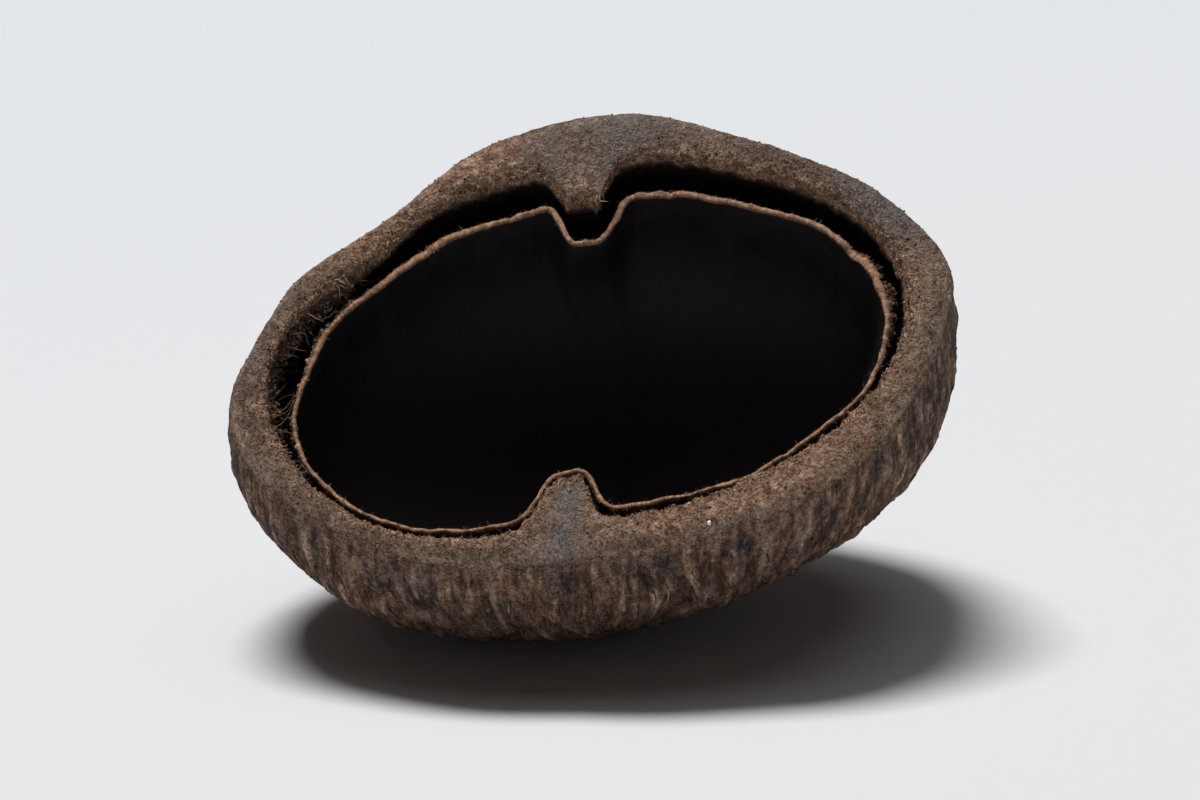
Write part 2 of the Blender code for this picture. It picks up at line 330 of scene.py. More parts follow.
def wallSurface(around, turn):
    # the finished outside of the wall, how far each point is a rib or thread, and how far it is
    # in a dark panel between them
    angle = evenAngle(around + husk["strandSway"] * meander(around, turn))
    base = wallPoint(angle, turn)
    out = normalOf(wallPoint, angle, turn)
    share = wallShare(turn)
    strands = strandSpace(around, share)
    fade = smoothStep(share, 0.02, 0.12) * (1 - smoothStep(share, 0.93, 1.0))
    swayed = around + 0.03 * threadNoise(strands * (1, 1, 1.6), 7.0)
    crest = ((1 + np.cos(husk["ribs"] * swayed)) / 2) ** 7
    crest = crest * smoothStep(lumpNoise(strands * (1, 1, 1.3), 4.0), -0.2, 0.2)
    streak = threadNoise(strands * (1, 1, 0.9), 1.9) + 0.6 * edgeNoise(strands * (1, 1, 1.5), 1.1)
    threads = threadRelief(around, turn)
    fibres = felt(base, 1.5) + 0.6 * felt(base + 17.0, 0.9)
    pits = np.clip(grainNoise(base, 1.3) - 0.05, 0, 1) * husk["pitDepth"]
    relief = husk["ribCrest"] * crest + threads - pits
    relief = relief + husk["feltHeight"] * fibres + husk["streakHeight"] * streak
    height = relief * fade + 0.1 * ribRelief(around, turn) + broadLumps(angle, turn) - husk["sunkBy"]
    tone = np.clip(0.1 + 0.9 * crest + 2.0 * threads + 0.1 * fibres - 1.8 * pits + 0.45 * streak, 0, 1)
    panel = smoothStep(grainNoise(strands * (1, 1, 1.5), 6.0), -0.1, 0.15) * (1 - crest)
    panel = panel * smoothStep(share, -0.01, 0.03) * (1 - smoothStep(share, 0.22, 0.4))
    return base + out * height[..., None], tone * (0.6 + 0.4 * fade), panel


def lipSurface(around, share):
    base = lipPoint(around, share)
    out = -normalOf(lipPoint, around, share)
    uneven = husk["lipUnevenness"] * lumpNoise(base, 6.0) * np.sin(math.pi * np.clip(share, 0, 1))
    grain = husk["lipGrain"] * (0.6 * grainNoise(base, 0.8) + grainNoise(base, 1.7) + 0.5 * felt(base, 1.2))
    ragged = smoothStep(share, 0.55, 0.85)
    crumble = husk["edgeCrumble"] * ragged * (edgeNoise(base, 1.3) + 0.7 * edgeNoise(base, 0.6) - 0.4)
    height = uneven + grain + crumble - husk["sunkBy"]
    return base + out * height[..., None]


def boreSurface(around, turn):
    angle = evenAngle(around)
    base = borePoint(angle, turn)
    out = -normalOf(borePoint, angle, turn)
    strands = strandSpace(around, wallShare(turn))
    below = wallShare(turn) * pod["depth"]
    ragged = np.exp(-below / 4)
    fibrous = 0.3 * edgeNoise(strands, 1.6) * (1 - ragged)
    crumble = husk["edgeCrumble"] * ragged * (edgeNoise(base, 1.3) + 0.7 * edgeNoise(base, 0.6))
    undercut = husk["undercut"] * smoothStep(below, 0.0, 0.9) * np.exp(-((below / 14) ** 2))
    fade = 1 - smoothStep(turn, 1.2, 1.5)
    lumps = 0.55 + 1.3 * edgeNoise(base, 1.9) + 0.6 * edgeNoise(base, 0.8)
    there = swell(angle, husk["boreCrust"])
    crust = np.minimum(there * lumps, 2.2) * smoothStep(below, 0.1, 1.0) * np.exp(-((below / 5) ** 2))
    undercut = undercut * (1 - 0.7 * np.clip(there, 0, 1))
    return base + out * ((fibrous + crumble) * fade + crust - undercut - husk["sunkBy"])[..., None]


# Where the pod lies: its own frame turned, and set so that the husk fills its node's box
podRotation = Euler((math.radians(pod["tilt"]), 0, math.radians(pod["turn"]))).to_matrix()
podRotation = np.array(podRotation @ Matrix.Rotation(math.radians(pod["roll"]), 3, "Z"))


def findMouth():
    around = np.linspace(0, fullTurn, 193)[None, :]
    turn = np.radians(np.linspace(0, 84, 15))[:, None]
    angle = evenAngle(around + meander(around, turn))
    relief = ribRelief(around, turn) + broadLumps(angle, turn)
    wall = wallPoint(angle, turn) + normalOf(wallPoint, angle, turn) * relief[..., None]
    lip = lipPoint(around, np.arange(1, 8)[:, None] / 8)
    points = np.concatenate((wall, lip)).reshape(-1, 3) @ podRotation.T * mm
    low, high = (np.array(corner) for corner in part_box("husk"))
    middle = (low + high) / 2 - (points.min(0) + points.max(0)) / 2
    return np.array((middle[0], middle[1], high[2] - points[:, 2].max()))


podMouth = findMouth()
print("mouth at", [round(float(value) * 1000, 2) for value in podMouth], "mm")


def inWorld(points):
    # clipped to the husk's box, whose underside is the worn flat spot that the pod rests on
    low, high = (np.array(corner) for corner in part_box("husk"))
    return np.clip(points @ podRotation.T * mm + podMouth, low, high)


# Meshes

def addObject(name, points, faces, values, material):
    data = bpy.data.meshes.new(name)
    data.from_pydata(points.tolist(), [], faces)
    for key, value in values.items():
        if value.ndim == 2:
            layer = data.attributes.new(key, "FLOAT_VECTOR", "POINT")
            layer.data.foreach_set("vector", value.astype(np.float32).ravel())
        else:
            layer = data.attributes.new(key, "FLOAT", "POINT")
            layer.data.foreach_set("value", value.astype(np.float32))
    data.shade_smooth()
    data.materials.append(material)
    made = bpy.data.objects.new(name, data)
    bpy.context.collection.objects.link(made)
    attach(made, "root")
    print(name, sum(len(face) - 2 for face in faces), "triangles")
    return made


def ringFaces(sizes):
    # faces of a closed chain of rings, each as long as the last, half or twice as long,
    # with a fan to one point at either end
    starts = np.concatenate(([0], np.cumsum(sizes)))
    faces = []
    for row, (here, after) in enumerate(zip(sizes, sizes[1:])):
        a, b = starts[row], starts[row + 1]
        if here == after:
            step = np.arange(here)
            following = (step + 1) % here
            quads = np.stack((a + step, b + step, b + following, a + following), axis=1)
            faces += quads.tolist()
            continue
        few = min(here, after)
        step = np.arange(few)
        following = (step + 1) % few
        many, lone = (a, b) if here > after else (b, a)
        one, two, three = many + 2 * step, many + 2 * step + 1, many + 2 * following
        left, right = lone + step, lone + following
        if here > after:
            corners = ((one, left, two), (two, left, right), (two, right, three))
        else:
            corners = ((left, one, two), (left, two, right), (right, two, three))
        for corner in corners:
            faces += np.stack(corner, axis=1).tolist()
    first = np.arange(sizes[0])
    last = starts[-2] + np.arange(sizes[-1])
    startTip, endTip = starts[-1], starts[-1] + 1
    faces += [(startTip, int(i), int(j)) for i, j in zip(first, np.roll(first, -1))]
    faces += [(endTip, int(j), int(i)) for i, j in zip(last, np.roll(last, -1))]
    return faces


def podMesh(name, rings, startTip, endTip, material):
    # a ring is a dictionary of arrays: its points, and the values that its material reads
    sizes = [len(ring["points"]) for ring in rings]
    points = np.concatenate([ring["points"] for ring in rings] + [startTip[None], endTip[None]])
    values = {}
    for key in rings[0]:
        if key != "points":
            ends = (rings[0][key][:1], rings[-1][key][:1])
            values[key] = np.concatenate([ring[key] for ring in rings] + list(ends))
    return addObject(name, inWorld(points), ringFaces(sizes), values, material)


def aroundFor(columns):
    return np.arange(columns) * fullTurn / columns


def halvings(turn, limits):
    return sum(math.degrees(turn) > limit for limit in limits)


# Nodes for the materials

def node(tree, kind, values=None, **settings):
    made = tree.nodes.new(kind)
    for key, value in settings.items():
        setattr(made, key, value)
    for key, value in (values or {}).items():
        if isinstance(value, bpy.types.NodeSocket):
            tree.links.new(value, made.inputs[key])
        else:
            made.inputs[key].default_value = value
    return made


def maths(tree, operation, first, second=0.0, clamp=False):
    made = node(tree, "ShaderNodeMath", {0: first, 1: second}, operation=operation, use_clamp=clamp)
    return made.outputs[0]


def mixed(tree, share, first, second, blend="MIX"):
    # colours are the mix node's seventh and eighth inputs
    made = node(tree, "ShaderNodeMix", data_type="RGBA", blend_type=blend)
    for index, value in ((0, share), (6, first), (7, second)):
        if isinstance(value, bpy.types.NodeSocket):
            tree.links.new(value, made.inputs[index])
        elif index:
            made.inputs[index].default_value = (*value, 1)
        else:
            made.inputs[index].default_value = value
    return made.outputs[2]


def between(tree, value, low, high):
    # 0 below low, 1 above high, smooth on the way
    limits = {"Value": value, "From Min": low, "From Max": high}
    return node(tree, "ShaderNodeMapRange", limits, interpolation_type="SMOOTHSTEP").outputs["Result"]


def readValue(tree, name):
    return node(tree, "ShaderNodeAttribute", attribute_name=name).outputs["Fac"]


def readVector(tree, name):
    return node(tree, "ShaderNodeAttribute", attribute_name=name).outputs["Vector"]


def millimetres(tree):
    where = node(tree, "ShaderNodeTexCoord").outputs["Object"]
    scaled = node(tree, "ShaderNodeVectorMath", {0: where, "Scale": 1000.0}, operation="SCALE")
    return scaled.outputs["Vector"]


def newGroup(name, inputs, outputs):
    group = bpy.data.node_groups.new(name, "ShaderNodeTree")
    kinds = {"value": "NodeSocketFloat", "colour": "NodeSocketColor", "vector": "NodeSocketVector"}
    for label, kind in inputs:
        group.interface.new_socket(name=label, in_out="INPUT", socket_type=kinds[kind])
    for label, kind in outputs:
        group.interface.new_socket(name=label, in_out="OUTPUT", socket_type=kinds[kind])
    arriving = group.nodes.new("NodeGroupInput").outputs
    leaving = group.nodes.new("NodeGroupOutput").inputs
    return group, arriving, leaving


def bySize(tree, vector, size):
    frequency = maths(tree, "DIVIDE", 1.0, size)
    return node(tree, "ShaderNodeVectorMath", {0: vector, "Scale": frequency}, operation="SCALE").outputs[0]


def makeGrainGroup():
    # fine grain, long along the fibres where the vector is the strand space
    group, given, out = newGroup(
        "grain",
        (("Vector", "vector"), ("Size", "value"), ("Contrast", "value")),
        (("Mask", "value"), ("Height", "value")),
    )
    spot = bySize(group, given["Vector"], given["Size"])
    settings = {"Vector": spot, "Scale": 1.0, "Detail": 4.0, "Roughness": 0.62}
    noise = node(group, "ShaderNodeTexNoise", settings)
    centred = maths(group, "SUBTRACT", noise.outputs["Fac"], 0.5)
    strong = maths(group, "MULTIPLY", centred, given["Contrast"])
    group.links.new(maths(group, "ADD", strong, 0.5, clamp=True), out["Mask"])
    group.links.new(noise.outputs["Fac"], out["Height"])
    return group


def makeMottleGroup():
    # three colours of one finish in soft-edged patches
    group, given, out = newGroup(
        "mottle",
        (
            ("Vector", "vector"), ("Size", "value"),
            ("Dark", "colour"), ("Middle", "colour"), ("Pale", "colour"),
        ),
        (("Color", "colour"),),
    )
    spot = bySize(group, given["Vector"], given["Size"])
    settings = {"Vector": spot, "Scale": 1.0, "Detail": 5.0, "Roughness": 0.66, "Distortion": 0.5}
    noise = node(group, "ShaderNodeTexNoise", settings).outputs["Fac"]
    lower = mixed(group, between(group, noise, 0.34, 0.5), given["Dark"], given["Middle"])
    group.links.new(mixed(group, between(group, noise, 0.5, 0.68), lower, given["Pale"]), out["Color"])
    return group


def makeFeltGroup():
    # matted hair: thin curling lines, where warped noise crosses its middle
    group, given, out = newGroup(
        "felt",
        (("Vector", "vector"), ("Size", "value")),
        (("Mask", "value"), ("Height", "value")),
    )
    total = None
    for part, offset in ((1.0, 0.0), (0.55, 7.3), (0.8, 15.1)):
        spot = bySize(group, given["Vector"], maths(group, "MULTIPLY", given["Size"], part))
        moved = node(group, "ShaderNodeVectorMath", {0: spot, 1: (offset, offset, -offset)}).outputs[0]
        settings = {"Vector": moved, "Scale": 1.0, "Detail": 1.0, "Roughness": 0.4, "Distortion": 1.1}
        noise = node(group, "ShaderNodeTexNoise", settings).outputs["Fac"]
        away = maths(group, "ABSOLUTE", maths(group, "SUBTRACT", noise, 0.5))
        line = maths(group, "SUBTRACT", 1.0, maths(group, "MULTIPLY", away, 13.0), clamp=True)
        total = line if total is None else maths(group, "MAXIMUM", total, line)
    group.links.new(total, out["Mask"])
    group.links.new(total, out["Height"])
    return group


def makeSpeckleGroup():
    # small raised crumbs, as many as Amount says, each with a tone of its own
    group, given, out = newGroup(
        "speckle",
        (("Vector", "vector"), ("Size", "value"), ("Amount", "value")),
        (("Mask", "value"), ("Tone", "value"), ("Height", "value")),
    )
    spot = bySize(group, given["Vector"], given["Size"])
    cells = node(group, "ShaderNodeTexVoronoi", {"Vector": spot, "Scale": 1.0, "Randomness": 1.0})
    near = maths(group, "SUBTRACT", 1.0, between(group, cells.outputs["Distance"], 0.2, 0.5))
    draws = node(group, "ShaderNodeSeparateColor", {"Color": cells.outputs["Color"]}).outputs
    chosen = maths(group, "LESS_THAN", draws[0], given["Amount"])
    group.links.new(maths(group, "MULTIPLY", near, chosen), out["Mask"])
    group.links.new(draws[1], out["Tone"])
    group.links.new(near, out["Height"])
    return group


def makeBloomGroup():
    # a film of dust and painted sheen that lies in patches over another colour
    group, given, out = newGroup(
        "bloom",
        (
            ("Color", "colour"), ("DustAndSheen", "colour"),
            ("Vector", "vector"), ("Size", "value"), ("Amount", "value"),
        ),
        (("Color", "colour"), ("Mask", "value")),
    )
    spot = bySize(group, given["Vector"], given["Size"])
    settings = {"Vector": spot, "Scale": 1.0, "Detail": 6.0, "Roughness": 0.75}
    noise = node(group, "ShaderNodeTexNoise", settings)
    patch = between(group, noise.outputs["Fac"], 0.32, 0.68)
    mask = maths(group, "MULTIPLY", patch, given["Amount"], clamp=True)
    group.links.new(mixed(group, mask, given["Color"], given["DustAndSheen"]), out["Color"])
    group.links.new(mask, out["Mask"])
    return group


grainGroup = makeGrainGroup()
mottleGroup = makeMottleGroup()
feltGroup = makeFeltGroup()
speckleGroup = makeSpeckleGroup()
bloomGroup = makeBloomGroup()


def use(tree, group, values):
    filled = {key: (*value, 1) if isinstance(value, tuple) else value for key, value in values.items()}
    return node(tree, "ShaderNodeGroup", filled, node_tree=group).outputs


def newMaterial(name):
    made = bpy.data.materials.new(name)
    made.use_nodes = True
    tree = made.node_tree
    return made, tree, tree.nodes["Principled BSDF"]


def bump(tree, height, distance, normal=None):
    values = {"Height": height, "Distance": distance * mm, "Strength": 1.0}
    if normal is not None:
        values["Normal"] = normal
    return node(tree, "ShaderNodeBump", values).outputs["Normal"]


huskFinish = {
    "groove": ((0.036, 0.0195, 0.0145), (0.108, 0.06, 0.041), (0.2, 0.116, 0.075)),
    "crest": ((0.15, 0.092, 0.064), (0.25, 0.168, 0.122), (0.38, 0.275, 0.21)),
    "lip": ((0.07, 0.043, 0.031), (0.15, 0.099, 0.074), (0.24, 0.171, 0.134)),
    # reddish brown, also painted lighter to stand in for stronger light on those parts of the lip
    "warmLip": ((0.115, 0.063, 0.04), (0.27, 0.162, 0.108), (0.43, 0.29, 0.205)),
    # the inner edge's tan fibres, made paler still as a painted highlight where light catches them
    "edge": ((0.095, 0.05, 0.03), (0.28, 0.165, 0.104), (0.5, 0.325, 0.22)),
    # painted highlight: the pale line along the lip's rounded outer part
    "line": (0.31, 0.235, 0.18),
    "panel": (0.034, 0.0275, 0.031),
    "crumbs": ((0.05, 0.03, 0.022), (0.24, 0.145, 0.098), (0.48, 0.35, 0.255)),
    # grey dust, with a painted grey sheen in the same patches
    "dust": (0.178, 0.163, 0.16),
    # painted shade: near black for the bore under the lip, standing in for the shadow there
    "deep": (0.018, 0.015, 0.0135),
    "roughness": 0.95,
    "dustRoughness": 0.7,
}


def mottled(tree, finish, places):
    # the finish's colours of three tones, each in patches of its own size
    tones = {}
    for key, vector, size in places:
        dark, middle, pale = finish[key]
        values = {"Vector": vector, "Size": size, "Dark": dark, "Middle": middle, "Pale": pale}
        tones[key] = use(tree, mottleGroup, values)["Color"]
    return tones


def shaded(tree, colour, mask, darkest, palest, full=1.0):
    # a colour made darker where the mask is 0 and paler where it is full
    limits = {"Value": mask, "From Max": full, "To Min": darkest, "To Max": palest}
    shade = node(tree, "ShaderNodeMapRange", limits).outputs["Result"]
    return mixed(tree, 1.0, colour, shade, "MULTIPLY")


def threeTones(tree, share, tones):
    lower = mixed(tree, between(tree, share, 0.0, 0.5), tones[0], tones[1])
    return mixed(tree, between(tree, share, 0.5, 1.0), lower, tones[2])


def makeHuskMaterial():
    made, tree, surface = newMaterial("husk fibre")
    where = millimetres(tree)
    strands = readVector(tree, "strand")
    band = readValue(tree, "band")
    tones = mottled(tree, huskFinish, (
        ("groove", strands, 2.0), ("crest", strands, 1.4),
        ("lip", where, 2.2), ("warmLip", where, 1.6), ("edge", where, 1.1),
    ))
    hair = use(tree, feltGroup, {"Vector": where, "Size": 1.9})
    fine = use(tree, grainGroup, {"Vector": where, "Size": 0.42, "Contrast": 3.4})
    longer = node(tree, "ShaderNodeVectorMath", {0: strands, 1: (1.0, 1.0, 0.6)}, operation="MULTIPLY")
    streaks = use(tree, grainGroup, {"Vector": longer.outputs[0], "Size": 1.0, "Contrast": 4.6})
    panel = use(tree, grainGroup, {"Vector": where, "Size": 1.4, "Contrast": 3.0})
    panel = maths(tree, "MULTIPLY", readValue(tree, "panel"), between(tree, panel["Mask"], 0.1, 0.55))
    colour = mixed(tree, maths(tree, "MULTIPLY", panel, 0.9), tones["groove"], huskFinish["panel"])
    colour = mixed(tree, readValue(tree, "crest"), colour, tones["crest"])
    colour = shaded(tree, colour, streaks["Mask"], 0.5, 1.6)
    lipColour = mixed(tree, readValue(tree, "warm"), tones["lip"], tones["warmLip"])
    # the lip's inner edge: tan fibres and a painted highlight
    lipColour = mixed(tree, readValue(tree, "edge"), lipColour, tones["edge"])
    # the painted highlight line
    lipColour = mixed(tree, readValue(tree, "line"), lipColour, huskFinish["line"])
    colour = mixed(tree, band, colour, lipColour)
    lit = maths(tree, "ADD", maths(tree, "MULTIPLY", hair["Mask"], 0.6), fine["Mask"])
    colour = shaded(tree, colour, lit, 0.48, 1.7, 1.3)
    # dust patches that also carry a painted sheen
    dusty = use(tree, bloomGroup, {
        "Color": colour, "DustAndSheen": huskFinish["dust"],
        "Vector": where, "Size": 0.9, "Amount": readValue(tree, "dust"),
    })
    amount = node(tree, "ShaderNodeMapRange", {"Value": band, "To Min": 0.1, "To Max": 0.3}).outputs["Result"]
    crumbs = use(tree, speckleGroup, {"Vector": where, "Size": 0.5, "Amount": amount})
    crumbColour = threeTones(tree, crumbs["Tone"], huskFinish["crumbs"])
    colour = mixed(tree, maths(tree, "MULTIPLY", crumbs["Mask"], 0.45), dusty["Color"], crumbColour)
    # painted shade: the bore and the lip's innermost edge are coloured near black where shadow falls
    colour = mixed(tree, readValue(tree, "deep"), colour, huskFinish["deep"])
    tree.links.new(colour, surface.inputs["Base Color"])
    rough = node(tree, "ShaderNodeMapRange", {
        "Value": dusty["Mask"], "To Min": huskFinish["roughness"], "To Max": huskFinish["dustRoughness"]
    })
    tree.links.new(rough.outputs["Result"], surface.inputs["Roughness"])
    along = maths(tree, "MULTIPLY", streaks["Height"], maths(tree, "SUBTRACT", 1.0, band))
    normal = bump(tree, along, 0.35)
    normal = bump(tree, maths(tree, "ADD", fine["Height"], hair["Height"]), 0.18, normal)
    normal = bump(tree, crumbs["Height"], 0.08, normal)
    tree.links.new(normal, surface.inputs["Normal"])
    surface.inputs["Specular IOR Level"].default_value = 0.15
    return made


huskMaterial = makeHuskMaterial()

# Where dust lies on the lip, with a painted grey sheen in the same patches: angle, half width, both in
# degrees, and how thick it is
lipDustAndSheen = (
    (95, 9, 0.8), (72, 12, 1.2), (48, 12, 0.5), (17, 9, 1.5), (-9, 7, 0.45), (-102, 4.2, 1.8), (-88, 6, 0.35),
    (125, 12, 0.25), (168, 8, 0.35), (-155, 14, 0.2),
)
# Where the lip is reddish rather than dull brown, and painted lighter where more light should fall, in the
# same way
lipWarmthAndLight = ((-62, 42, 1.0), (-145, 22, 0.65), (114, 18, 1.5), (144, 13, 0.9), (60, 14, 0.6), (-10, 18, 0.3))


def huskRing(points, strand, **shown):
    # the values that the husk's material reads are 0 where none is given
    blank = np.zeros(len(points))
    keys = ("crest", "band", "edge", "warm", "line", "dust", "panel", "deep")
    return {"points": points, **{key: blank + shown.get(key, 0.0) for key in keys}, "strand": strand}


def makeHusk():
    rings = []
    boreShares = np.arange(husk["boreRows"], -1, -1) / husk["boreRows"]
    for turn in np.radians(husk["lastBoreTurn"]) * boreShares**1.5:
        columns = husk["columns"] // (1 if math.degrees(turn) < 5 else 4 if math.degrees(turn) > 20 else 2)
        around = aroundFor(columns)
        below = wallShare(turn) * pod["depth"]
        crust = np.clip(swell(evenAngle(around), husk["boreCrust"]), 0, 1)
        points = boreSurface(around, np.full(columns, turn))
        strand = strandSpace(around, wallShare(turn) + 2.0)
        # the bore is painted near black as shade, except on the crust just below the lip's edge
        rings.append(huskRing(points, strand, crest=0.3, deep=1.0 - 0.8 * crust * math.exp(-below / 1.5)))
    around = aroundFor(husk["columns"])
    angle = evenAngle(around)
    lineAt, lineWidth, lineStrength = husk["lipHighlightLine"]
    for share in 1 - np.arange(1, husk["lipRows"]) / husk["lipRows"]:
        points = lipSurface(around, np.full(len(around), share))
        rough = 0.14 * edgeNoise(points, 2.2)
        # painted highlight along the lip's rounded outer part
        nearHighlightLine = lineStrength * np.exp(-(((share - lineAt) / lineWidth) ** 2))
        rings.append(huskRing(
            points,
            strandSpace(around, -0.1 * share),
            crest=0.3,
            band=smoothStep(share + 0.35 * rough, 0.09, 0.19),
            # paler inner edge: tan fibres and a painted highlight
            edge=smoothStep(share + rough, 0.5, 0.8),
            # reddish and painted lighter as light, most on the lip's lower front
            warm=np.clip(swell(angle, lipWarmthAndLight), 0, 1),
            line=nearHighlightLine * smoothStep(edgeNoise(points, 3.0), -0.4, 0.3),
            # dust and painted sheen over the middle of the lip
            dust=swell(angle, lipDustAndSheen) * smoothStep(1 - abs(2 * share - 1), 0.1, 0.6),
            panel=0.4,
            # the lip's innermost edge is painted dark as shade where it turns down into the bore
            deep=smoothStep(share, 0.95, 0.98),
        ))
    for turn in np.radians(husk["lastWallTurn"]) * np.arange(husk["wallRows"] + 1) / husk["wallRows"]:
        around = aroundFor(husk["columns"] // 2 ** halvings(turn, husk["halveAt"]))
        turns = np.full(len(around), turn)
        points, crest, panel = wallSurface(around, turns)
        rings.append(huskRing(points, strandSpace(around, wallShare(turns)), crest=crest, panel=panel))
    rings += nubRings()
    boreEnd = borePoint(np.array(0.0), np.array(quarterTurn))
    made = podMesh("husk_fibre", rings, boreEnd, nubPoint(1.0), huskMaterial)
    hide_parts("husk")


def nubPoint(share, around=None):
    # share 0 is the nub's root and share 1 its tip
    radii, heights = np.array(husk["nub"]).T
    at = share * (len(radii) - 1)
    radius = np.interp(at, range(len(radii)), radii)
    height = np.interp(at, range(len(heights)), heights)
    root = wallPoint(np.array(0.0), np.array(quarterTurn)) - (0, 0, husk["bossHeight"] - husk["sunkBy"])
    bend = np.array(husk["nubBend"]) * height / husk["nub"][-1][1]
    centre = root + np.array((bend[0], bend[1], -height))
    if around is None:
        return centre
    return centre + np.stack((np.cos(around), np.sin(around), 0 * around), axis=-1) * radius


def nubRings():
    columns = husk["columns"] // 2 ** len(husk["halveAt"])
    around = aroundFor(columns)
    blank = np.zeros(columns)
    rings = []
    for share in np.arange(husk["nubRows"]) / husk["nubRows"]:
        points = nubPoint(share, around)
        flow = np.stack((3 * np.cos(around), 3 * np.sin(around), blank + 2 * share), axis=-1)
        out = np.stack((np.cos(around), np.sin(around), blank), axis=-1)
        points = points + out * (0.16 * grainNoise(flow, 0.8) * (1 - share))[:, None]
        rings.append(huskRing(points, flow, crest=0.35))
    return rings


makeHusk()


# The inner shell: a thin hard lining, torn along its edge, dull and dark inside
shell = {
    "halfLength": 39.8,
    "halfWidth": 23.4,
    "lift": 0.1,
    "drop": 3.5,
    "thickness": 0.9,
    "rimThickness": 0.7,
    "rimSwells": ((60, 38, 0.22), (140, 24, 0.3), (8, 9, 0.4)),  # where the edge is frayed thicker
    "crust": ((2, 11, 1.3), (50, 14, 0.45), (138, 18, 0.4), (165, 9, 0.8)),  # rough lumps on its outside
    "endGap": 0.5,
    "rimWave": 0.5,
    "swells": (
        (-144, 25, 3.6), (174, 9, -1.9), (132, 28, -1.3), (154, 16, -2.1), (107, 12, -0.8),
        (34, 14, -1.1), (-19, 11, 1.2), (-47, 14, 0.9), (14, 4, -0.5),
    ),
    "folds": ((84, 10.4, 8.6, 6.7), (-104, 8.0, 10.6, 6.2)),
    "ripple": 0.22,  # how far the edge wavers sideways
    "tear": 0.3,  # how uneven the edge's height is
    "nicks": ((13, 1.6, 1.2), (137, 1.2, 0.5), (-38, 0.9, 0.4), (58, 0.8, 0.35)),  # angle, half width, depth
    "columns": 640,
    "insideRows": 64,
    "outsideRows": 44,
    "rimRows": 5,
    "lastTurn": 86,
}


def shellRadius(angle, height):
    fade = ridgeFade(height)
    outline = ellipseRadius(angle, shell["halfLength"], shell["halfWidth"], shell["lift"] * fade)
    return outline + (swell(angle, shell["swells"]) - flatRidges(angle, shell["folds"])) * fade


def shellPoint(angle, turn):
    rim = -shell["drop"] + shell["rimWave"] * np.sin(3 * angle + 1) * np.cos(turn) ** 2
    depth = pod["depth"] - husk["endThickness"] - shell["endGap"] + rim
    height = rim - wallShare(turn) * depth
    return place(angle, shellRadius(angle, height) * np.cos(turn), height)


def shellSides(around, turn):
    # matching points of the outside and the inside
    angle = evenAngle(around)
    base = shellPoint(angle, turn)
    out = normalOf(shellPoint, angle, turn)
    share = wallShare(turn)
    below = share * pod["depth"]
    nearRim = np.exp(-below / 0.9)
    waver = edgeNoise(base * (1, 1, 0.15), 4.2) + 0.5 * edgeNoise(base * (1, 1, 0.2), 1.7)
    ripple = shell["ripple"] * waver * np.exp(-below / 7)
    torn = shell["tear"] * (edgeNoise(base, 1.9) + 0.6 * edgeNoise(base, 0.8)) - swell(angle, shell["nicks"])
    strands = strandSpace(around, share)
    fibrous = 0.14 * threadNoise(strands, 1.3) + 0.07 * threadNoise(strands, 0.6)
    wrinkled = 0.09 * lumpNoise(strands * (1, 1, 3), 4.0) + 0.03 * lumpNoise(strands * (1, 1, 4), 1.5)
    fade = 1 - smoothStep(turn, 1.2, 1.5)
    rim = shell["rimThickness"] + swell(angle, shell["rimSwells"]) + 0.16 * edgeNoise(base, 2.6)
    thickness = rim + (shell["thickness"] - rim) * smoothStep(below, 0, 3)
    lumps = 0.7 + 0.8 * edgeNoise(base, 1.5) + 0.5 * edgeNoise(base, 0.8)
    crust = swell(angle, shell["crust"]) * lumps * smoothStep(below, 0.0, 0.7) * np.exp(-((below / 5) ** 2))
    lifted = base + out * ripple[..., None] + np.stack((0 * torn, 0 * torn, torn * nearRim), axis=-1)
    outside = lifted + out * ((fibrous - 0.12) * fade + np.maximum(crust, 0))[..., None]
    inside = lifted - out * (thickness + wrinkled * fade * (1 - nearRim))[..., None]
    return outside, inside


shellFinish = {
    "outside": ((0.025, 0.014, 0.01), (0.09, 0.05, 0.033), (0.22, 0.132, 0.088)),
    # the inside's own near black, painted darker still as shade near the rim
    "inside": ((0.003, 0.0027, 0.0027), (0.0055, 0.0044, 0.0043), (0.014, 0.0095, 0.008)),
    "rim": ((0.19, 0.096, 0.058), (0.4, 0.226, 0.14), (0.6, 0.385, 0.255)),
    # painted shade: the shell's outside darkens into the gap below the rim
    "outsidePaintedShade": (0.018, 0.015, 0.0135),
    # painted fill light: the deep inside is coloured lighter, standing in for light that does not reach it
    "insidePaintedFill": (0.066, 0.056, 0.055),
    # a paler film in patches inside: dust and a painted sheen
    "dust": (0.03, 0.03, 0.032),
    "outsideRoughness": 0.92,
    "insideRoughness": 0.6,
}


